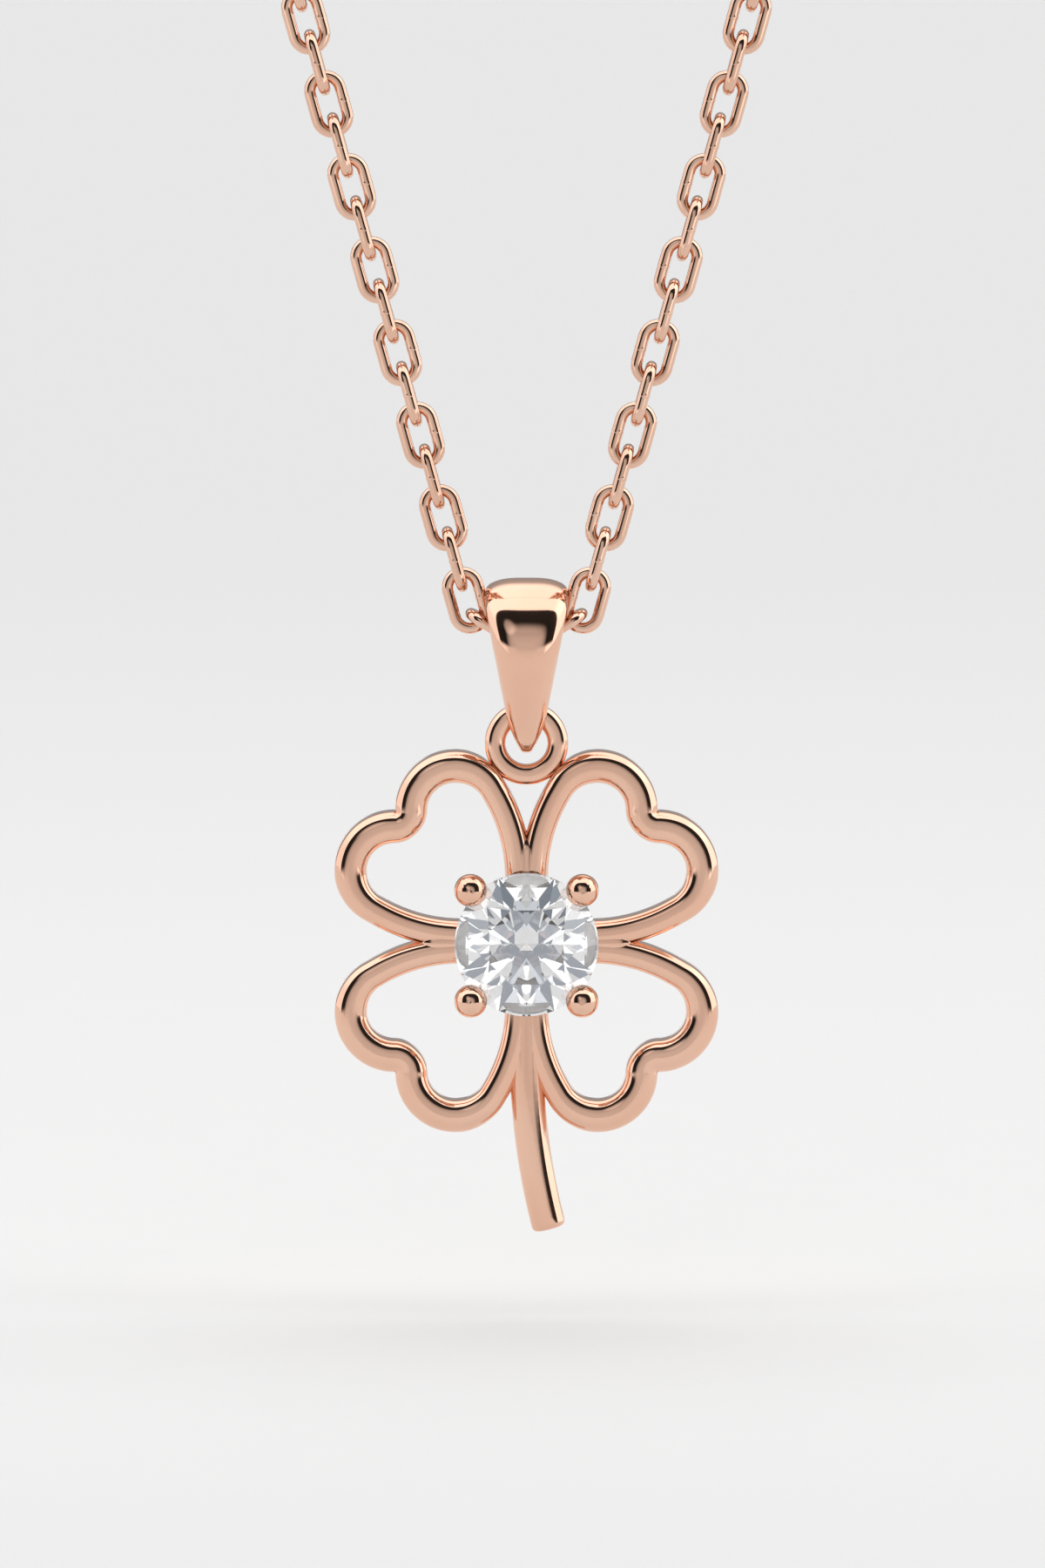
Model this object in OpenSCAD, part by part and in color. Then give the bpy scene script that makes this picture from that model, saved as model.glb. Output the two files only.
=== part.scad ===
// Four leaf clover pendant with a round centre stone, hanging on a closed cable chain.
// The clover stands in the XZ plane and faces -Y. Lengths are millimetres.

/* [Stone] */
// Diameter of the round stone
stone_d = 6.5; // [4:0.1:8]
// Width of the table, as a share of the diameter
table_share = 0.56; // [0.5:0.01:0.62]
// Angle of the crown facets
crown_angle = 34.5; // [30:0.5:38]
// Angle of the pavilion facets
pavilion_angle = 40.8; // [38:0.2:43]
// Height of the girdle
girdle_h = 0.22; // [0.15:0.01:0.35]
// How far the girdle stands in front of the clover's middle plane
stone_forward = 1.35; // [1.3:0.05:1.6]
// Turn of the stone about its own axis
stone_turn = 22.5; // [0:0.5:22.5]

/* [Claw setting] */
// Diameter of the ball on each claw
ball_d = 1.5; // [1:0.05:1.8]
// Thickness of each claw
claw_d = 0.85; // [0.6:0.05:1]
// Distance from the stone's edge to the middle of a ball
ball_outside = 0.32; // [0.2:0.02:0.5]
// How far a ball's middle stands in front of the girdle
ball_forward = 0.45; // [0.2:0.05:0.7]
// Width of the gallery ring's wall
gallery_wall = 0.45; // [0.3:0.05:0.6]
// Height of the gallery ring
gallery_h = 0.8; // [0.5:0.05:1]
// Thickness of the foot ring behind the stone
foot_wire = 0.8; // [0.6:0.05:1]

/* [Clover] */
// Width of the band round the lobes of a leaf
band_w = 1.46; // [1.3:0.02:1.6]
// Width of the band along the sides of a leaf and in the arms
side_w = 1.24; // [1.1:0.02:1.3]
// Width of the band in the notch of a leaf
notch_w = 1.36; // [1.2:0.02:1.5]
// Depth of the band from front to back
band_depth = 1.6; // [1.2:0.05:2]
// Radius of the band's rounded front shoulders, as a share of half its width
shoulder_share = 0.84; // [0.6:0.02:0.9]
// Radius of the band's back edges
back_edge_r = 0.18; // [0.1:0.02:0.3]
// Radius of a leaf lobe along the middle of its band
lobe_r = 1.99; // [1.6:0.05:2.4]
// Distance of a lobe's middle from the nearer arm's middle line
lobe_side = 3.23; // [2.9:0.02:3.5]
// Distance of a lobe's middle from the farther arm's middle line
lobe_out = 5.98; // [5.8:0.02:6.1]
// Slant of a leaf's side where it leaves the lobe
leaf_slant = 30; // [27:0.5:33]
// Radius of the bend from the leaf's side into the arm
arm_bend_r = 7.6; // [6:0.1:8]
// Distance of the band's middle from the arm's middle line beside the stone
arm_offset = 0.36; // [0.25:0.01:0.4]
// Width of the rib that levels the groove between two leaves on an arm
arm_rib_w = 0.8; // [0.7:0.02:0.9]
// Distance from the stone's middle to where the rib starts to sink in
arm_rib_reach = 4.15; // [3.9:0.05:4.3]

/* [Stem and ring] */
// Width of the stem
stem_w = 1.54; // [1.2:0.02:1.8]
// Height at which the stem starts to curve, below the stone's middle
stem_curve_start = 5; // [4.5:0.1:6]
// Radius of the stem's curve
stem_curve_r = 32; // [20:1:60]
// Length of the curved stretch
stem_curve_len = 8.2; // [5:0.05:9]
// Rounding of the stem's end
stem_end_r = 0.25; // [0.1:0.05:0.35]
// Outer radius of the top ring
ring_outer_r = 1.89; // [1.8:0.01:2]
// Radius of the hole in the top ring
ring_hole_r = 0.945; // [0.9:0.005:1]
// Depth of the top ring from front to back
ring_depth = 0.9; // [0.7:0.05:1]
// How deep the ring sinks into the bands that it is soldered to
ring_sunk = 0.17; // [0.1:0.01:0.3]

/* [Bail] */
// Width of the bail at its top
bail_w = 3.7; // [3.4:0.05:3.75]
// Width of the bail where it passes through the ring
bail_eye_w = 0.88; // [0.7:0.02:0.9]
// Height of the bail from its tip to its top
bail_h = 7.95; // [7.8:0.05:8.1]
// Inner radius of the wide top bend
bail_top_r = 1.6; // [1.55:0.01:1.7]
// Outer radius of the wide top bend
bail_out_r = 2.8; // [2.6:0.05:2.9]
// Wall of the bail at its top, in the middle of its domed width
bail_wall = 0.85; // [0.7:0.01:0.9]
// Clearance between the ring's wire and the bail's lower eye
eye_clearance = 0.24; // [0.2:0.01:0.3]
// Height of the bail's stretch of full width
bail_shoulder_h = 1.25; // [1:0.05:1.4]
// Width of the bail's waist, as a share of its full width
bail_waist_share = 0.475; // [0.44:0.005:0.48]
// Height of the bail's taper from the waist to the tip
bail_taper_h = 1.35; // [1.2:0.05:1.5]
// Wall under the bail's lower eye
bail_tip_wall = 1.14; // [0.9:0.01:1.3]
// How far the bail's front and back swell past a straight run
bail_swell = 0.1; // [0.04:0.02:0.2]
// Radius of the bail's tip
bail_tip_r = 1.0; // [0.9:0.02:1.1]

/* [Chain] */
// Thickness of the chain's wire
wire_d = 0.52; // [0.45:0.01:0.52]
// Outer width of a link
link_w = 1.9; // [1.84:0.01:1.9]
// Distance from one link's middle to the next
pitch = 1.94; // [1.85:0.01:2]
// Free play between two linked wires
link_play = 0.12; // [0.1:0.01:0.16]
// Lean of the two strands from the vertical
strand_lean = 15.4; // [14:0.1:18]
// Half the distance between the last two links outside the bail
last_link_side = 2.72; // [2.72:0.01:2.9]
// Height of the last links' middle above the stone's middle
last_link_up = 15.52; // [15.5:0.02:15.8]
// How far the links beside the middle one are pushed into it
middle_slack = 0.32; // [0.25:0.01:0.32]
// Links in the round top stretch of each strand
arc_links = 38; // [30:2:40]

/* [Clasp] */
// Thickness of the clasp's ring
clasp_wire = 0.9; // [0.7:0.05:1.1]
// Smallest distance from the clasp's middle to the chain's last link
clasp_reach = 2.2; // [1.8:0.1:3]

/* [Hidden] */
$fn = 64;
gold = [0.87, 0.66, 0.56];
quadrants = [0, 90, 180, 270];
big = 10 * stone_d;

// The stone, with its girdle's middle at height 0 and its table upwards
stone_r = stone_d / 2;
table_r = stone_r * table_share;
girdle_top = girdle_h / 2;
crown_rise = tan(crown_angle);
table_z = girdle_top + (stone_r - table_r) * crown_rise;
star_r = (table_r + stone_r) / 2;
star_z = girdle_top + (stone_r - star_r * cos(22.5)) * crown_rise;
pavilion_depth = stone_r * tan(pavilion_angle);
lower_r = stone_r * 0.24;
lower_z = -girdle_top - pavilion_depth * (1 - lower_r * cos(22.5) / stone_r);

// The setting, in the stone's own frame
seat_gap = 0.05;
gallery_r = stone_r * 0.86;
gallery_z = -stone_forward;
ball_r = stone_r + ball_outside;
foot_r = stone_r * 0.48;
foot_z = -girdle_top - pavilion_depth * 0.72;

// The leaf's path, in the clover's flat frame
lobe = [lobe_side, lobe_out];
notch_r = band_w / 2 + 0.02;
lobe_sum = lobe_side + lobe_out;
lobe_gap = (lobe_out - lobe_side) / 2;
notch_c = lobe_sum / 2 + sqrt(pow(lobe_r + notch_r, 2) / 2 - pow(lobe_gap, 2));
notch_angle = atan2(notch_c - lobe_out, notch_c - lobe_side);
side_start = lobe + lobe_r * [-cos(leaf_slant), sin(leaf_slant)];
side_len = (side_start[0] - arm_offset - arm_bend_r * (1 - cos(leaf_slant))) / sin(leaf_slant);
arm_bend_y = side_start[1] - side_len * cos(leaf_slant) - arm_bend_r * sin(leaf_slant);

// The ring and the bail, in heights above the stone's middle
ring_wire_w = ring_outer_r - ring_hole_r;
ring_wire_r = ring_hole_r + ring_wire_w / 2;
ring_up = lobe_out + sqrt(pow(ring_outer_r + lobe_r + band_w / 2 - ring_sunk, 2) - pow(lobe_side, 2));
swing_low_z = ring_up + ring_wire_r;
eye_r = ring_wire_w / 2 + eye_clearance;
bail_tip_z = swing_low_z - eye_r - bail_tip_wall;
bail_top_z = bail_tip_z + bail_h;
bail_bend_z = bail_top_z - bail_wall - bail_top_r;
bail_tip_c = bail_tip_z + bail_tip_r;
shoulder_z = bail_top_z - bail_shoulder_h;
waist_z = swing_low_z - eye_clearance;
waist_w = bail_w * bail_waist_share;
swell_mid_z = (bail_bend_z + swing_low_z) / 2;
swell_half_h = 0.85 * (bail_bend_z - swing_low_z);

// Bail section: columns are the share of the half width and the share of the wall
bail_section = [
    [-0.6, 0], [-0.78, 0.05], [-0.9, 0.14], [-1, 0.34], [-0.96, 0.54], [-0.8, 0.78], [-0.54, 0.94],
    [-0.26, 0.99], [0, 1], [0.26, 0.99], [0.54, 0.94], [0.8, 0.78], [0.96, 0.54], [1, 0.34],
    [0.9, 0.14], [0.78, 0.05], [0.6, 0]
];

// The chain: links that face forward turn about their end bends' middles
link_len = pitch + 2 * wire_d + link_play;
bend_r = (link_w - wire_d) / 2;
link_straight = link_len - link_w;
cross_len = 2 * pitch - link_straight;
strand_angle = 90 - strand_lean;
strand_dir = [cos(strand_angle), sin(strand_angle)];
last_pivot = [last_link_side, last_link_up] - strand_dir * link_straight / 2;
inner_pivot = link_straight / 2 - middle_slack;
first_dx = last_pivot[0] - inner_pivot;
first_angle = acos(first_dx / cross_len);
chain_low_z = last_pivot[1] - cross_len * sin(first_angle);
arc_step = (180 - strand_angle) / (arc_links + 0.5);
function seg_len(i) = i % 2 == 0 ? link_straight : cross_len;
function arc_reach(k) = k == 0 ? 0 : arc_reach(k - 1) + seg_len(k) * cos(strand_angle + k * arc_step);
straight_need = clasp_reach - last_pivot[0] - arc_reach(arc_links);
straight_links = 2 * ceil(straight_need / (2 * pitch * strand_dir[0]));
side_links = 1 + straight_links + arc_links;
function link_angle(i) = i == 0 ? 0 : i == 1 ? first_angle
    : strand_angle + max(0, i - 1 - straight_links) * arc_step;
function heading(i) = [cos(link_angle(i)), sin(link_angle(i))];
pivots = [for (i = 0, p = [inner_pivot, chain_low_z]; i <= side_links;
    i = i + 1, p = p + heading(i) * seg_len(i)) p];
clasp_z = pivots[side_links][1];
end_wire_x = pivots[side_links][0] + pitch - link_straight - bend_r;
clasp_r = end_wire_x + (clasp_wire + wire_d) / 2 + link_play;

module in_place() {
    translate([0, 0, -clasp_z]) children();
}

module standing() {
    in_place() rotate([90, 0, 0]) children();
}

function ring_point(r, angle, z) = [r * cos(angle), r * sin(angle), z];

// Height of the plane through three points, at a place on the girdle's circle
function plane_height(a, b, c, angle) =
    let (n = cross(b - a, c - a), p = ring_point(stone_r, angle, 0))
    a[2] - (n[0] * (p[0] - a[0]) + n[1] * (p[1] - a[1])) / n[2];

// Girdle edge of a half facet from its main point to the point halfway to the next one
function edge_height(angle, side_z, tip_r, tip_z) =
    let (k = floor(angle / 22.5), main = 22.5 * (k + k % 2), half = 22.5 * (k + 1 - k % 2))
    plane_height(ring_point(stone_r, main, side_z), ring_point(stone_r, half, side_z),
        ring_point(tip_r, half, tip_z), angle);

module brilliant() {
    edge = 64;
    per = edge / 16;
    step = 360 / edge;
    points = concat(
        [for (k = [0:7]) ring_point(table_r, 45 * k, table_z)],
        [for (k = [0:7]) ring_point(star_r, 45 * k + 22.5, star_z)],
        [for (i = [0:edge - 1]) ring_point(stone_r, i * step, edge_height(i * step, girdle_top, star_r, star_z))],
        [for (i = [0:edge - 1]) ring_point(stone_r, i * step, edge_height(i * step, -girdle_top, lower_r, lower_z))],
        [for (k = [0:7]) ring_point(lower_r, 45 * k + 22.5, lower_z)],
        [[0, 0, -girdle_top - pavilion_depth]]);
    up = 16;
    down = up + edge;
    low = down + edge;
    faces = concat(
        [[for (k = [7:-1:0]) k]],
        [for (k = [0:7]) [k, (k + 1) % 8, 8 + k]],
        [for (k = [0:7]) [k, 8 + k, up + k * 2 * per, 8 + (k + 7) % 8]],
        [for (k = [0:7], h = [0, 1]) concat([8 + k],
            [for (i = [per:-1:0]) up + (k * 2 * per + h * per + i) % edge])],
        [for (i = [0:edge - 1]) [up + i, up + (i + 1) % edge, down + (i + 1) % edge, down + i]],
        [for (k = [0:7], h = [0, 1]) concat([low + k],
            [for (i = [0:per]) down + (k * 2 * per + h * per + i) % edge])],
        [for (k = [0:7]) [low + 8, low + (k + 7) % 8, down + k * 2 * per, low + k]]);
    polyhedron(points, faces);
}

module stone() {
    color([0.93, 0.95, 0.97]) standing() translate([0, 0, stone_forward]) rotate([0, 0, stone_turn]) brilliant();
}

module wire_between(a, b, d) {
    v = b - a;
    translate(a) rotate([0, acos(v[2] / norm(v)), atan2(v[1], v[0])]) cylinder(d = d, h = norm(v));
}

// Room for the stone inside the claws
module stone_room() {
    room_r = stone_r + seat_gap;
    translate([0, 0, -girdle_top]) cylinder(r = room_r, h = girdle_h);
    translate([0, 0, girdle_top]) cylinder(r1 = room_r, r2 = room_r - 2 / crown_rise, h = 2);
    translate([0, 0, -girdle_top - room_r * tan(pavilion_angle)])
        cylinder(r1 = 0, r2 = room_r, h = room_r * tan(pavilion_angle));
}

module claw_setting() {
    color(gold) standing() translate([0, 0, stone_forward]) difference() {
        union() {
            translate([0, 0, gallery_z - gallery_h / 2]) difference() {
                cylinder(r = gallery_r, h = gallery_h);
                translate([0, 0, -1]) cylinder(r = gallery_r - gallery_wall, h = gallery_h + 2);
            }
            translate([0, 0, foot_z]) rotate_extrude() translate([foot_r, 0]) circle(d = foot_wire);
            for (q = quadrants) rotate([0, 0, q + 45]) {
                wire_between([foot_r, 0, foot_z], [ball_r, 0, ball_forward], claw_d);
                translate([ball_r, 0, ball_forward]) sphere(d = ball_d);
            }
        }
        stone_room();
    }
}

function corner(x, y, r, from, steps) =
    [for (i = [0:steps]) let (a = from + 90 * i / steps) [x + r * cos(a), y + r * sin(a)]];

// Flat front, round shoulders and back edges
function outline(w, depth, back_r, back_steps) = let (front_r = shoulder_share * w / 2) concat(
    corner(w / 2 - front_r, depth / 2 - front_r, front_r, 0, 4),
    corner(front_r - w / 2, depth / 2 - front_r, front_r, 90, 4),
    corner(back_r - w / 2, back_r - depth / 2, back_r, 180, back_steps),
    corner(w / 2 - back_r, back_r - depth / 2, back_r, 270, back_steps));
function band_outline(w, depth) = outline(w, depth, back_edge_r, 1);

// Stations along an arc: place, heading, width and depth, turning left when the sign is 1
function arc_path(c, r, from, to, steps, sign, w_from, w_to) =
    [for (i = [0:steps]) let (a = from + (to - from) * i / steps)
        [c[0] + r * cos(a), c[1] + r * sin(a), a + 90 * sign, w_from + (w_to - w_from) * i / steps,
            band_depth]];
half_path = concat(
    arc_path([notch_c, notch_c], notch_r, 225, 180 + notch_angle, 4, -1, notch_w, band_w),
    arc_path(lobe, lobe_r, notch_angle + 8, 100, 12, 1, band_w, band_w),
    arc_path(lobe, lobe_r, 108, 180 - leaf_slant, 5, 1, band_w, side_w),
    arc_path([arm_offset + arm_bend_r, arm_bend_y], arm_bend_r, 180 - leaf_slant, 180, 5, 1, side_w, side_w),
    [[arm_offset, gallery_r * 0.8, 270, side_w, band_depth]]);
half_steps = len(half_path) - 1;
leaf_path = concat(
    [for (i = [half_steps:-1:1]) let (p = half_path[i]) [p[1], p[0], 270 - p[2], p[3], p[4]]],
    half_path);

// The band's outline carried along stations, closed at both ends
module sweep(path) {
    outlines = [for (p = path) band_outline(p[3], p[4])];
    n = len(outlines[0]);
    m = len(path);
    points = [for (k = [0:m - 1]) let (p = path[k]) each
        [for (o = outlines[k]) [p[0] + o[0] * sin(p[2]), p[1] - o[0] * cos(p[2]), o[1]]]];
    faces = concat(
        [[for (i = [n - 1:-1:0]) i]],
        [for (s = [0:m - 2], i = [0:n - 1]) let (j = (i + 1) % n) each [
            [s * n + i, (s + 1) * n + j, (s + 1) * n + i],
            [s * n + i, s * n + j, (s + 1) * n + j]]],
        [[for (i = [0:n - 1]) (m - 1) * n + i]]);
    polyhedron(points, faces);
}

// The stem's last stations draw in to its rounded end
function stem_station(along, inset) =
    let (a = 180 + along / stem_curve_r * 180 / PI)
    [stem_curve_r + stem_curve_r * cos(a), stem_curve_r * sin(a) - stem_curve_start, a + 90,
        stem_w - 2 * inset, band_depth - 2 * inset];
stem_even_len = stem_curve_len - stem_end_r;
stem_path = concat([[0, -gallery_r, 270, stem_w, band_depth]],
    [for (i = [0:7]) stem_station(stem_even_len * i / 7, 0)],
    [for (a = [30, 60, 90]) stem_station(stem_even_len + stem_end_r * sin(a), stem_end_r * (1 - cos(a)))]);

// The rib stands on three arms; the stem does its work on the fourth
rib_end = [[0, 0], [0.2, 0.06], [0.4, 0.2], [0.55, 0.4]];
rib_path = concat([[0, gallery_r * 0.8, 90, arm_rib_w, band_depth]],
    [for (e = rib_end) [0, arm_rib_reach + e[0], 90, arm_rib_w - e[1], band_depth - e[1]]]);

module clover_frame() {
    color(gold) standing() difference() {
        union() {
            for (q = quadrants) rotate([0, 0, q]) sweep(leaf_path);
            for (q = [-90, 0, 90]) rotate([0, 0, q]) sweep(rib_path);
            sweep(stem_path);
            translate([0, ring_up]) rotate_extrude() translate([ring_wire_r, 0])
                polygon(outline(ring_wire_w, ring_depth, shoulder_share * ring_wire_w / 2, 4));
        }
        translate([0, 0, -big / 2]) cylinder(r = gallery_r + seat_gap, h = big);
    }
}

// Middle of the bend and its radius at a step round the teardrop, with the way outwards
function way_out(s, lean) = s <= 16 ? -lean + s * (180 + 2 * lean) / 16
    : s <= 21 ? 180 + lean
    : s <= 31 ? 180 + lean + (s - 21) * (180 - 2 * lean) / 10
    : 360 - lean;
function low_share(s) = s <= 16 ? 0 : s <= 21 ? (s - 16) / 5 : s <= 31 ? 1 : (36 - s) / 5;
function drop_point(s, top_z, top_r, low_z, low_r) =
    let (lean = asin((top_r - low_r) / (top_z - low_z)), a = way_out(s, lean), t = low_share(s),
        r = top_r + t * (low_r - top_r), z = top_z + t * (low_z - top_z))
    [r * cos(a), z + r * sin(a)];
function bail_width(z) = z > shoulder_z ? bail_w
    : z > waist_z ? waist_w + (bail_w - waist_w) * (z - waist_z) / (shoulder_z - waist_z)
    : max(bail_eye_w, waist_w - (waist_z - z) * (waist_w - bail_eye_w) / bail_taper_h);
function swell(z) = let (q = min(1, abs(z - swell_mid_z) / swell_half_h)) bail_swell * pow(1 - q * q, 2);
function bail_ring(s) =
    let (inner = drop_point(s, bail_bend_z, bail_top_r, swing_low_z, eye_r),
        straight = drop_point(s, bail_top_z - bail_out_r, bail_out_r, bail_tip_c, bail_tip_r),
        outer = straight + [sign(straight[0]) * swell(straight[1]), 0])
    [for (c = bail_section) let (p = inner + c[1] * (outer - inner)) [c[0] * bail_width(p[1]) / 2, p[0], p[1]]];

module bail() {
    steps = 36;
    n = len(bail_section);
    points = [for (s = [0:steps - 1]) each bail_ring(s)];
    faces = [for (s = [0:steps - 1], c = [0:n - 1])
        let (s2 = (s + 1) % steps, c2 = (c + 1) % n) each [
            [s * n + c, s * n + c2, s2 * n + c2],
            [s * n + c, s2 * n + c2, s2 * n + c]]];
    color(gold) in_place() polyhedron(points, faces);
}

// One oval link that lies in the XZ plane with its length along X
module link() {
    for (s = [-1, 1]) {
        translate([s * link_straight / 2, 0, 0]) rotate([90, s * 90, 0])
            rotate_extrude(angle = 180) translate([bend_r, 0]) circle(d = wire_d, $fn = 24);
        translate([-link_straight / 2, 0, s * bend_r])
            rotate([0, 90, 0]) cylinder(d = wire_d, h = link_straight, $fn = 24);
    }
}

module strand(side, first) {
    color(gold) in_place() for (i = [first:side_links]) {
        back = i == 0 ? [0, chain_low_z] : (pivots[i] + pivots[i - 1]) / 2;
        translate([side * back[0], 0, back[1]]) rotate([0, -side * link_angle(i), 0])
            rotate([i % 2 == 0 ? 0 : 90, 0, 0]) link();
    }
}

module chain_left() {
    strand(-1, 1);
}

module chain_right() {
    strand(1, 0);
}

module clasp() {
    color(gold) in_place() translate([0, 0, clasp_z]) rotate([90, 0, 0])
        rotate_extrude() translate([clasp_r, 0]) circle(d = clasp_wire);
}

chain_left();
chain_right();
clasp();
bail();
clover_frame();
claw_setting();
stone();
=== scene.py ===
import math

import bpy
from mathutils import Matrix, Vector


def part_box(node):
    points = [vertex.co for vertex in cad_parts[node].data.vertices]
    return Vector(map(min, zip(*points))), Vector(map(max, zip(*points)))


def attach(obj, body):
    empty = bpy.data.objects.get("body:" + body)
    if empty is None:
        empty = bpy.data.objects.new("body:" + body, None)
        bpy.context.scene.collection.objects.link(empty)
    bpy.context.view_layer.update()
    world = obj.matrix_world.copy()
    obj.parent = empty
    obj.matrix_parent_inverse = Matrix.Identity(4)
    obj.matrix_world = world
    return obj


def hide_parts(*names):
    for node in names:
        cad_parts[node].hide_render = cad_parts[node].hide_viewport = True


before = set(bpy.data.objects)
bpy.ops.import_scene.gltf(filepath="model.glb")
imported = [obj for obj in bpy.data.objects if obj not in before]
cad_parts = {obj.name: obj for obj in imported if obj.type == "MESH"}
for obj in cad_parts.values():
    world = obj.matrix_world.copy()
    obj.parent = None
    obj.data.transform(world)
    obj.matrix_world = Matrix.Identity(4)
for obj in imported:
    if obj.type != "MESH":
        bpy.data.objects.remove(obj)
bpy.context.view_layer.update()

MM = 0.001

# The stone's middle, from which all heights below are counted
stone_low, stone_high = (Vector(c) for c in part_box("stone"))
stone_w = (stone_high.x - stone_low.x) / MM
STONE_UP = sum(c.z for c in (stone_low, stone_high)) / 2 / MM

# Clover, in millimetres
band_w = 1.46
side_w = 1.24
notch_w = 1.36
notch_gap = 0.02
band_depth = 1.6
shoulder_share = 0.84
back_edge_r = 0.18
crown_lean = 10
lobe_r = 1.99
lobe_side = 3.23
lobe_out = 5.98
leaf_slant = 30
side_start = 100
arm_bend_r = 7.6
arm_offset = 0.36
arm_rib_w = 0.8
arm_rib_reach = 4.15
arm_rib_end = [(0, 0), (0.2, 0.06), (0.4, 0.2), (0.55, 0.4)]

# Stem and ring
stem_w = 1.54
stem_curve_start = 5
stem_curve_r = 32
stem_curve_len = 8.2
stem_end_r = 0.25
ring_outer_r = 1.89
ring_hole_r = 0.945
ring_depth = 0.9
ring_sunk = 0.17
ring_up = lobe_out + math.sqrt((ring_outer_r + lobe_r + band_w / 2 - ring_sunk) ** 2 - lobe_side ** 2)

# Bail
bail_w = 3.7
bail_eye_w = 0.88
bail_h = 7.95
bail_top_r = 1.6
bail_out_r = 2.8
bail_wall = 0.85
bail_shoulder_h = 1.25
bail_waist_share = 0.475
bail_taper_h = 1.35
bail_tip_wall = 1.14
bail_swell = 0.1
bail_swell_reach = 0.85
eye_clearance = 0.24
bail_tip_r = 1.0

# Chain
wire_d = 0.52
link_w = 1.9
pitch = 1.94
link_play = 0.12
strand_lean = 15.4
last_link_side = 2.72
last_link_up = 15.52
middle_slack = 0.32
arc_links = 38
clasp_reach = 2.2
seam_swell = 0.06
seam_half = 0.05
seam_reach = 0.12

# Setting
gallery_r = stone_w / 2 * 0.86
arm_root = gallery_r * 0.8
seat_gap = 0.05
hole_reach = 3

# View and floor: the photograph's frame is 47.3 by 71 mm at the pendant
camera_rise = 6
camera_away = 600
frame_h = 71
frame_middle = (-0.18, 0, 7.17)
sensor_h = 36
floor_drop = 17.2
floor_front = 75
floor_half = 1500


def cos(angle):
    return math.cos(math.radians(angle))


def sin(angle):
    return math.sin(math.radians(angle))


def spread(low, high, steps):
    """Evenly spaced values, with both ends"""
    return [low + (high - low) * i / steps for i in range(steps + 1)]


def in_place(x, y, z):
    """Millimetres from the stone's middle to the frame's metres"""
    return Vector((x, y, z + STONE_UP)) * MM


# Meshes: edges sharper than this many degrees stay crisp
smooth_below = 40


def new_piece(name, points, faces):
    mesh = bpy.data.meshes.new(name)
    mesh.from_pydata([tuple(p) for p in points], [], faces)
    mesh.validate()
    mesh.polygons.foreach_set("use_smooth", [True] * len(mesh.polygons))
    mesh.set_sharp_from_angle(angle=math.radians(smooth_below))
    piece = bpy.data.objects.new(name, mesh)
    bpy.context.scene.collection.objects.link(piece)
    return piece


def skin(rings, closed_round):
    """Faces over rings of points, with flat ends or joined into a loop"""
    n, m = len(rings[0]), len(rings)
    points = [p for ring in rings for p in ring]
    faces = []
    for s in range(m if closed_round else m - 1):
        near, far = s * n, (s + 1) % m * n
        for i in range(n):
            j = (i + 1) % n
            faces.append((near + i, near + j, far + j, far + i))
    if not closed_round:
        faces.append(tuple(reversed(range(n))))
        faces.append(tuple((m - 1) * n + i for i in range(n)))
    return points, faces


def arc(x, y, r, start, end, steps):
    return [(x + r * cos(a), y + r * sin(a)) for a in spread(start, end, steps)]


def band_outline(width, depth, back_r=back_edge_r):
    """Crowned front, round shoulders and back edges"""
    shoulder_r = shoulder_share * width / 2
    half = width / 2 - shoulder_r
    rise = depth / 2 - shoulder_r
    crown = half / sin(crown_lean)
    crown_z = rise - crown * cos(crown_lean)
    back = back_r - depth / 2
    return (
        arc(half, rise, shoulder_r, 0, 90 - crown_lean, 12)
        + arc(0, crown_z, crown + shoulder_r, 90 - crown_lean, 90 + crown_lean, 6)[1:-1]
        + arc(-half, rise, shoulder_r, 90 + crown_lean, 180, 12)
        + arc(back_r - width / 2, back, back_r, 180, 270, 4)
        + arc(width / 2 - back_r, back, back_r, 270, 360, 4)
    )


def along_arc(x, z, r, start, end, steps, turn, widths):
    """Stations on an arc: place, heading, width and depth"""
    return [
        (x + r * cos(a), z + r * sin(a), a + 90 * turn, w, band_depth)
        for a, w in zip(spread(start, end, steps), spread(*widths, steps))
    ]


def leaf_stations():
    notch_r = band_w / 2 + notch_gap
    lobe_gap = (lobe_out - lobe_side) / 2
    notch = (lobe_side + lobe_out) / 2 + math.sqrt((lobe_r + notch_r) ** 2 / 2 - lobe_gap ** 2)
    turn = math.degrees(math.atan2(notch - lobe_out, notch - lobe_side))
    side_x = lobe_side - lobe_r * cos(leaf_slant)
    side_z = lobe_out + lobe_r * sin(leaf_slant)
    side_len = (side_x - arm_offset - arm_bend_r * (1 - cos(leaf_slant))) / sin(leaf_slant)
    side_end = 180 - leaf_slant
    bend_x = arm_offset + arm_bend_r
    bend_z = side_z - side_len * cos(leaf_slant) - arm_bend_r * sin(leaf_slant)
    half = (
        along_arc(notch, notch, notch_r, 225, 180 + turn, 16, -1, (notch_w, band_w))
        + along_arc(lobe_side, lobe_out, lobe_r, turn, side_start, 36, 1, (band_w, band_w))[1:]
        + along_arc(lobe_side, lobe_out, lobe_r, side_start, side_end, 20, 1, (band_w, side_w))[1:]
        + along_arc(bend_x, bend_z, arm_bend_r, side_end, 180, 24, 1, (side_w, side_w))
        + [(arm_offset, arm_root, 270, side_w, band_depth)]
    )
    mirrored = [(z, x, 270 - h, w, d) for x, z, h, w, d in reversed(half[1:])]
    return mirrored + half


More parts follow.
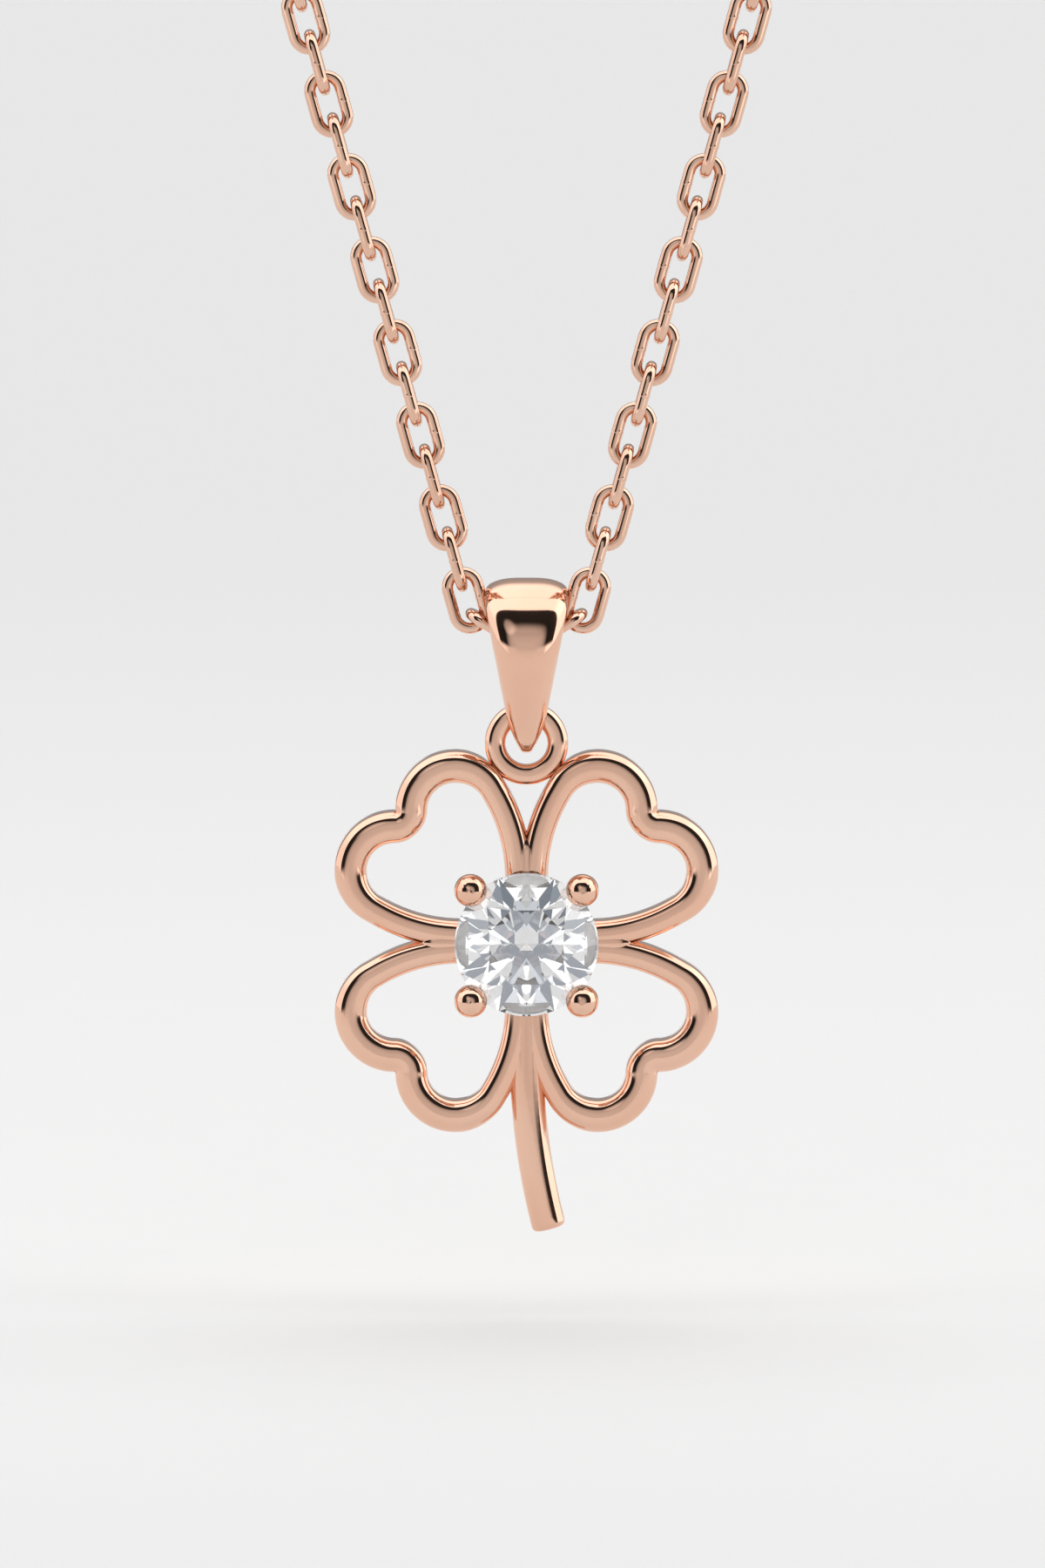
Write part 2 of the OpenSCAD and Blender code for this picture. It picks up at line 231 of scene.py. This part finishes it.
def stem_station(along, inset):
    a = 180 + math.degrees(along / stem_curve_r)
    return (stem_curve_r + stem_curve_r * cos(a), stem_curve_r * sin(a) - stem_curve_start, a + 90,
            stem_w - 2 * inset, band_depth - 2 * inset)


def rib_stations():
    """Rib that levels the groove between two leaves on an arm, and sinks in where they part"""
    path = [(arm_root, 0)] + [(arm_rib_reach + past, sunk) for past, sunk in arm_rib_end]
    return [(0, z, 90, arm_rib_w - sunk, band_depth - sunk) for z, sunk in path]


def stem_stations():
    even = stem_curve_len - stem_end_r
    return (
        [(0, -gallery_r, 270, stem_w, band_depth)]
        + [stem_station(s, 0) for s in spread(0, even, 24)]
        + [stem_station(even + stem_end_r * sin(a), stem_end_r * (1 - cos(a))) for a in spread(10, 90, 8)]
    )


def band_rings(stations, turn=0):
    """The outline at every station, turned about the stone's middle and stood up"""
    rings = []
    for x, z, heading, width, depth in stations:
        ring = []
        for across, forward in band_outline(width, depth):
            px = x + across * sin(heading)
            pz = z - across * cos(heading)
            ring.append(in_place(px * cos(turn) - pz * sin(turn), -forward, px * sin(turn) + pz * cos(turn)))
        rings.append(ring)
    return rings


def ring_rings():
    wire = ring_outer_r - ring_hole_r
    middle = ring_hole_r + wire / 2
    return [
        [in_place((middle + across) * cos(a), -forward, ring_up + (middle + across) * sin(a))
         for across, forward in band_outline(wire, ring_depth, shoulder_share * wire / 2)]
        for a in spread(0, 360, 120)[:-1]
    ]


def cut(piece, tool, how):
    modifier = piece.modifiers.new(how, "BOOLEAN")
    modifier.operation = how
    modifier.solver = "EXACT"
    modifier.object = tool
    settled = bpy.data.meshes.new_from_object(piece.evaluated_get(bpy.context.evaluated_depsgraph_get()))
    piece.modifiers.clear()
    old = piece.data
    piece.data = settled
    bpy.data.meshes.remove(old)
    bpy.data.objects.remove(tool)


def make_clover():
    clover = new_piece("clover_band", *skin(band_rings(leaf_stations()), False))
    parts = [band_rings(leaf_stations(), turn) for turn in (90, 180, 270)] + [band_rings(stem_stations())]
    parts += [band_rings(rib_stations(), turn) for turn in (-90, 0, 90)]
    for rings in parts:
        cut(clover, new_piece("part", *skin(rings, False)), "UNION")
    cut(clover, new_piece("part", *skin(ring_rings(), True)), "UNION")
    hole_r = gallery_r + seat_gap
    hole = [[in_place(hole_r * cos(a), y, hole_r * sin(a)) for a in spread(0, 360, 160)[:-1]]
            for y in (-hole_reach, hole_reach)]
    cut(clover, new_piece("part", *skin(hole, False)), "DIFFERENCE")
    clover.data.set_sharp_from_angle(angle=math.radians(smooth_below))
    return clover


# Bail: share of the half width and share of the wall, round one side of the section
bail_section = [(0.6, 0), (0.7, 0.02), (0.78, 0.05), (0.85, 0.09), (0.9, 0.14), (0.96, 0.22), (0.99, 0.28),
                (1, 0.35), (0.99, 0.44), (0.965, 0.53), (0.93, 0.61)]
crown_side = 0.88
crown_drop = 0.306
crown_power = 3.45


def bail_outline():
    crown = [(u, 1 - crown_drop * (u / crown_side) ** crown_power) for u in spread(crown_side, 0, 16)]
    side = bail_section + crown
    return side + [(-u, t) for u, t in reversed(side[:-1])]


def bail_rings():
    ring_middle = (ring_outer_r + ring_hole_r) / 2
    low_z = ring_up + ring_middle
    eye_r = (ring_outer_r - ring_hole_r) / 2 + eye_clearance
    tip_z = low_z - eye_r - bail_tip_wall
    top_z = tip_z + bail_h
    bend_z = top_z - bail_wall - bail_top_r
    waist_z = low_z - eye_clearance
    waist_w = bail_w * bail_waist_share
    flare_z = top_z - bail_shoulder_h

    def width(z):
        if z > flare_z:
            return bail_w
        if z > waist_z:
            return waist_w + (bail_w - waist_w) * (z - waist_z) / (flare_z - waist_z)
        return max(bail_eye_w, waist_w - (waist_z - z) * (waist_w - bail_eye_w) / bail_taper_h)

    def swell(z):
        off_middle = min(1, abs(z - (bend_z + low_z) / 2) / (bail_swell_reach * (bend_z - low_z)))
        return bail_swell * (1 - off_middle ** 2) ** 2

    def drop(high_z, high_r, below_z, below_r):
        """Round the top bend, down the back, round the tip and up the front"""
        lean = math.degrees(math.asin((high_r - below_r) / (high_z - below_z)))
        top = [(high_r * cos(a), high_z + high_r * sin(a)) for a in spread(-lean, 180 + lean, 64)]
        tip = [(below_r * cos(a), below_z + below_r * sin(a)) for a in spread(180 + lean, 360 - lean, 40)]

        def run(a, b):
            return [(a[0] + (b[0] - a[0]) * t, a[1] + (b[1] - a[1]) * t) for t in spread(0, 1, 24)[1:-1]]
        return top + run(top[-1], tip[0]) + tip + run(tip[-1], top[0])

    inner = drop(bend_z, bail_top_r, low_z, eye_r)
    outer = drop(top_z - bail_out_r, bail_out_r, tip_z + bail_tip_r, bail_tip_r)
    rings = []
    for (iy, iz), (oy, oz) in zip(inner, outer):
        oy += math.copysign(swell(oz), oy)
        ring = []
        for u, t in bail_outline():
            z = iz + t * (oz - iz)
            ring.append(in_place(u * width(z) / 2, iy + t * (oy - iy), z))
        rings.append(ring)
    return rings


def link_rings(sides=16, bend_steps=14):
    """Round wire bent into an oval in the XZ plane, with its solder seam on one long side"""
    r = wire_d / 2
    bend = (link_w - wire_d) / 2
    half = (pitch + 2 * wire_d + link_play - link_w) / 2
    path = [(half + bend * cos(a), bend * sin(a), a, 0) for a in spread(-90, 90, bend_steps)]
    path += [(x, bend, 90, math.exp(-(x / seam_half) ** 2)) for x in spread(seam_reach, -seam_reach, 4)]
    path += [(-half + bend * cos(a), bend * sin(a), a, 0) for a in spread(90, 270, bend_steps)]
    rings = []
    for x, z, facing, seam in path:
        wide = r * (1 + seam_swell * seam)
        rings.append([
            Vector(((x + wide * cos(b) * cos(facing)), wide * sin(b), (z + wide * cos(b) * sin(facing))))
            for b in spread(0, 360, sides)[:-1]
        ])
    return rings


def link_places():
    """Middle and heading of every link of one strand, outwards from the bail"""
    straight = pitch + 2 * wire_d + link_play - link_w
    cross = 2 * pitch - straight
    up = 90 - strand_lean
    pivot = Vector((last_link_side - cos(up) * straight / 2, last_link_up - sin(up) * straight / 2))
    inner = straight / 2 - middle_slack
    first = math.degrees(math.acos((pivot.x - inner) / cross))
    low_z = pivot.y - cross * sin(first)
    step = (180 - up) / (arc_links + 0.5)
    lengths = (straight, cross)
    reach = sum(lengths[k % 2] * cos(up + k * step) for k in range(1, arc_links + 1))
    straight_links = 2 * math.ceil((clasp_reach - pivot.x - reach) / (2 * pitch * cos(up)))
    places = [(Vector((0, low_z)), 0)]
    end = Vector((inner, low_z))
    for i in range(1, 2 + straight_links + arc_links):
        angle = first if i == 1 else up + max(0, i - 1 - straight_links) * step
        run = Vector((cos(angle), sin(angle))) * lengths[i % 2]
        places.append((end + run / 2, angle))
        end += run
    return places


def make_strand(name, side, first):
    rings = link_rings()
    round_points, round_faces = skin(rings, True)
    points, faces = [], []
    for i, (middle, angle) in list(enumerate(link_places()))[first:]:
        lean = Matrix.Rotation(math.radians(-side * angle), 3, "Y")
        turn = lean @ Matrix.Rotation(math.radians(90 * (i % 2)), 3, "X")
        start = len(points)
        points += [in_place(*(turn @ p + Vector((side * middle.x, 0, middle.y)))) for p in round_points]
        faces += [tuple(start + k for k in face) for face in round_faces]
    return new_piece(name, points, faces)


# Finishes: scales of the noise are per metre, and the places of the seat, the pale patch of painted light
# behind the stone, are in millimetres along Y
wave_scale = 900
hair_scale = 2600
hair_turn = (0.3, 0.5, 0.7)
hair_stretch = 14
hair_depth = 0.06
hair_rough = 0.03
cloud_scale = 260
cloud_rough = 0.05
seat_front = -1
seat_back = -0.35
seat_fade = 0.1
# Painted light: pale tone of the seat behind the stone, which shows bright through the stone
seat_painted_light_tone = (0.94, 0.92, 0.9, 1)
seat_rough = 0.45

stone_ior = 2.42
clear_tone = (1, 1, 1, 1)
cool_tone = (0.97, 0.985, 1, 1)
tint_scale = 500
frost_scale = 9000

paper_scale = 220
paper_tones = ((0.75, 0.755, 0.76, 1), (0.76, 0.765, 0.768, 1))
# Painted shade on the paper: darker far back and towards its front edge
paper_back_painted_shade = (0.67, 0.675, 0.68, 1)
paper_front_painted_shade = (0.725, 0.73, 0.735, 1)


class Value:
    """A socket that is used in sums"""

    def __init__(self, shader, socket):
        self.shader = shader
        self.socket = socket

    def sum(self, operation, *values):
        return self.shader.node("Math", {"operation": operation}, dict(enumerate(values)))

    def __add__(self, other):
        return self.sum("ADD", self, other)

    def __radd__(self, other):
        return self.sum("ADD", other, self)

    def __sub__(self, other):
        return self.sum("SUBTRACT", self, other)

    def __rsub__(self, other):
        return self.sum("SUBTRACT", other, self)

    def __mul__(self, other):
        return self.sum("MULTIPLY", self, other)

    def __rmul__(self, other):
        return self.sum("MULTIPLY", other, self)

    def __truediv__(self, other):
        return self.sum("DIVIDE", self, other)

    def __pow__(self, other):
        return self.sum("POWER", self, other)

    def __neg__(self):
        return self * -1

    def __abs__(self):
        return self.sum("ABSOLUTE", self)

    def angle(self):
        return self.sum("ARCCOSINE", self)

    def between(self, low, high):
        """0 below low and 1 above high, with a smooth rise"""
        return self.shader.node("MapRange", {"interpolation_type": "SMOOTHSTEP"},
                                {"Value": self, "From Min": low, "From Max": high})


class Shader:
    """A node tree of a finish or of the studio"""

    def __init__(self, owner):
        owner.use_nodes = True
        self.tree = owner.node_tree
        self.tree.nodes.clear()

    def node(self, kind, settings=(), inputs=(), output=0):
        """One node: its settings, then the values or links of its sockets"""
        made = self.tree.nodes.new("ShaderNode" + kind)
        for name, setting in dict(settings).items():
            setattr(made, name, setting)
        for key, value in dict(inputs).items():
            if isinstance(value, Value):
                self.tree.links.new(value.socket, made.inputs[key])
            else:
                made.inputs[key].default_value = value
        return Value(self, made.outputs[output])

    def mix(self, factor, a, b):
        """From colour a to colour b"""
        return self.node("Mix", {"data_type": "RGBA"}, {0: factor, 6: a, 7: b}, 2)

    def noise(self, place, scale, detail=3):
        return self.node("TexNoise", {}, {"Vector": place, "Scale": scale, "Detail": detail})

    def place(self):
        return self.node("TexCoord", output="Object")

    def axes(self, place):
        """The x, y and z of a place or way"""
        return [self.node("SeparateXYZ", {}, {0: place}, i) for i in range(3)]

    def toward(self, way, target):
        """Cosine of the angle between two ways"""
        return self.node("VectorMath", {"operation": "DOT_PRODUCT"}, {0: way, 1: target}, "Value")

    def ray(self, fact):
        return self.node("LightPath", output=fact)

    def bump(self, height, strength=1, distance=1):
        return self.node("Bump", {}, {"Strength": strength, "Distance": distance, "Height": height})

    def end(self, kind, surface):
        output = self.tree.nodes.new("ShaderNodeOutput" + kind)
        self.tree.links.new(surface.socket, output.inputs["Surface"])


def new_finish(name):
    material = bpy.data.materials.new(name)
    return material, Shader(material)


def painted_light_seat(s, place):
    """1 on the metal right behind the stone, which shows only through it, where a pale patch is painted as
    light seen through the stone
    """
    x, y, z = s.axes(place)
    off_axis = (x ** 2 + (z - STONE_UP * MM) ** 2) ** 0.5

    def past(along, edge):
        return along.between((edge - seat_fade) * MM, edge * MM)
    return (1 - past(off_axis, stone_w / 2)) * past(y, seat_front) * (1 - past(y, seat_back))


def rose_gold(name, colour, deep, rough, wave):
    """Cast and polished rose gold: faint waves and hairlines, and behind the stone a pale matt patch,
    painted light that shows bright through the stone
    """
    material, s = new_finish(name)
    place = s.place()
    waves = s.noise(place, wave_scale, 2)
    brushed = s.node("Mapping", {}, {"Vector": place, "Rotation": hair_turn, "Scale": (1, hair_stretch, 1)})
    hairs = s.noise(brushed, hair_scale, 2)
    cloud = s.noise(place, cloud_scale)
    seat = painted_light_seat(s, place)
    # Painted light: the seat behind the stone turns pale and matt, so what shows through the stone is bright
    tone = s.mix(seat, s.mix(cloud.between(0.35, 0.7), colour, deep), seat_painted_light_tone)
    roughness = rough + cloud_rough * cloud + hair_rough * hairs + seat_rough * seat
    bump = s.bump(waves * wave + hairs * (wave * hair_depth))
    gloss = s.node("BsdfPrincipled", {}, {
        "Base Color": tone, "Metallic": 1 - seat, "Roughness": roughness, "Normal": bump})
    s.end("Material", gloss)
    return material


def cut_stone():
    """Colourless stone: clear polished facets and a faintly frosted girdle"""
    material, s = new_finish("clear_cut_stone")
    place = s.place()
    forward = s.axes(s.node("NewGeometry", output="True Normal"))[1]
    girdle = 1 - abs(forward).between(0.02, 0.12)
    frost = 0.25 + 0.2 * s.noise(place, frost_scale, 2)
    tone = s.mix(s.noise(place, tint_scale).between(0.3, 0.8), clear_tone, cool_tone)
    glass = s.node("BsdfPrincipled", {}, {
        "Base Color": tone, "Roughness": girdle * frost, "IOR": stone_ior, "Transmission Weight": 1})
    s.end("Material", glass)
    return material


def pale_floor():
    """Paper with a fine grain, and painted shade: a shade darker far back and at its front edge"""
    material, s = new_finish("pale_paper")
    place = s.place()
    grain = s.noise(place, paper_scale, 4)
    back = s.axes(place)[1]
    # Painted shade: the paper darkens far back and towards its front edge
    tone = s.mix(back.between(0, 0.45), s.mix(grain, *paper_tones), paper_back_painted_shade)
    tone = s.mix((-back).between(0.02, floor_front * MM), tone, paper_front_painted_shade)
    paper = s.node("BsdfPrincipled", {}, {
        "Base Color": tone, "Roughness": 0.75 + 0.1 * grain, "Specular IOR Level": 0.1,
        "Normal": s.bump(grain, 0.1, 0.0002)})
    s.end("Material", paper)
    return material


# Studio: shares of light, and ways as seen from the pendant
tent_light = 1.18
top_light = 0.4
side_light = 0.4
front_loss = 0.34
lens_loss = 0.14
back_loss = 0.7
arch_loss = 0.985
arch_inner = 0.45
arch_spread = 0.2
corner_power = 3
lamp_light = 0.45
lamp_way = (-0.32, -0.81, 0.49)
backdrop_light = 0.84
tent_tone = (1, 0.99, 0.985, 1)

stone_light = 1.55
shade_loss = 1.18
shade_tone = (0.8, 0.88, 1, 1)
dark_ring_loss = 0.8
rear_loss = 0.75
seat_light = 1.4
camera_way = (0, -cos(camera_rise), sin(camera_rise))


def reach_off_front(x, y, z):
    """Angle off the front in radians, with rings that are rounded squares"""
    half = corner_power / 2
    squared = ((x ** 2) ** half + (z ** 2) ** half) ** (1 / corner_power) / (x ** 2 + z ** 2) ** 0.5
    return (-y).angle() * squared


def tent(s, way, reach):
    """Bright top and right side, and a dark arch round the soft front with its lamp"""
    x, y, z = s.axes(way)
    off_front = (-y).angle()
    sideways = reach + arch_spread * abs(x)
    arch = arch_inner * reach.between(0, 0.48) + (1 - arch_inner) * sideways.between(0.42, 0.74)
    arch = arch * (1 - reach.between(1.07, 1.11)) * z.between(-0.17, -0.03)
    front = 1 - reach.between(0.5, 0.85)
    lens = 1 - off_front.between(0.08, 0.36)
    behind = off_front.between(2.15, 2.5) * (1 - s.ray("Is Diffuse Ray"))
    light = tent_light + top_light * z.between(0.3, 0.6) + side_light * x.between(0.5, 0.7)
    light = light - front_loss * front - lens_loss * lens
    light = light * (1 - arch_loss * arch) * (1 - back_loss * behind)
    return light + lamp_light * s.toward(way, lamp_way).between(0.96, 0.995)


def stone_surround(s, reach, off_camera, shade):
    """What the stone gathers: bright walls round a cool shade, with a dark ring, and dim behind"""
    dark_ring = reach.between(0.55, 0.62) - reach.between(0.85, 0.92)
    rear = off_camera.between(1.15, 1.5)
    light = stone_light - shade_loss * shade - dark_ring_loss * dark_ring - rear_loss * rear
    return light + seat_light * s.ray("Diffuse Depth").between(0.2, 0.8)


def make_studio():
    """Light tent for the metal, walls with a cool shade for the stone, and a plain backdrop"""
    world = bpy.data.worlds.new("light_tent")
    bpy.context.scene.world = world
    s = Shader(world)
    way = s.node("TexCoord")
    reach = reach_off_front(*s.axes(way))
    off_camera = s.toward(way, camera_way).angle()
    shade = 1 - off_camera.between(0.3, 0.4)
    through = s.ray("Is Transmission Ray")
    plain = s.ray("Is Camera Ray")
    light = tent(s, way, reach) * (1 - through) + stone_surround(s, reach, off_camera, shade) * through
    light = light * (1 - plain) + backdrop_light * plain
    colour = s.mix(shade * through, tent_tone, shade_tone)
    s.end("World", s.node("Background", {}, {"Color": colour, "Strength": light}))


def add_camera():
    """The photograph's view, from a little above and far enough for its flat perspective"""
    lens = bpy.data.cameras.new("camera")
    lens.sensor_fit = "VERTICAL"
    lens.sensor_height = sensor_h
    lens.lens = sensor_h * camera_away / frame_h
    lens.clip_start = 0.01
    camera = bpy.data.objects.new("camera", lens)
    camera.location = in_place(*frame_middle) + Vector(camera_way) * camera_away * MM
    camera.rotation_euler = (math.radians(90 - camera_rise), 0, 0)
    bpy.context.scene.collection.objects.link(camera)
    bpy.context.scene.camera = camera


def add_floor():
    """Pale paper that ends just before the camera's view of it does"""
    corners = [(-floor_half, -floor_front), (floor_half, -floor_front),
               (floor_half, floor_half), (-floor_half, floor_half)]
    floor = new_piece("floor", [in_place(x, y, -floor_drop) for x, y in corners], [(0, 1, 2, 3)])
    floor.data.materials.append(pale_floor())


def dress(piece, material):
    piece.data.materials.clear()
    piece.data.materials.append(material)


def dress_node(name, material):
    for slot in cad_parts[name].material_slots:
        slot.material = material


# Colour, deeper colour, roughness and height of the waves in metres
polished = rose_gold("polished_rose_gold", (0.865, 0.553, 0.412, 1), (0.85, 0.52, 0.38, 1), 0.03, 2.5e-6)
drawn_wire = rose_gold("rose_gold_wire", (0.82, 0.54, 0.41, 1), (0.78, 0.49, 0.36, 1), 0.05, 1.5e-6)
clear = cut_stone()

clover = make_clover()
dress(clover, polished)
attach(clover, "clover")
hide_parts("clover_frame")

bail = new_piece("bail_loop", *skin(bail_rings(), True))
dress(bail, polished)
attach(bail, "bail")
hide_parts("bail")

for name, side, first, node in (("links_left", -1, 1, "chain_left"), ("links_right", 1, 0, "chain_right")):
    strand = make_strand(name, side, first)
    dress(strand, drawn_wire)
    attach(strand, "necklace_chain")
    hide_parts(node)

dress_node("clasp", drawn_wire)
dress_node("claw_setting", polished)
dress_node("stone", clear)

add_floor()
make_studio()
add_camera()
bpy.context.scene.view_settings.view_transform = "Standard"
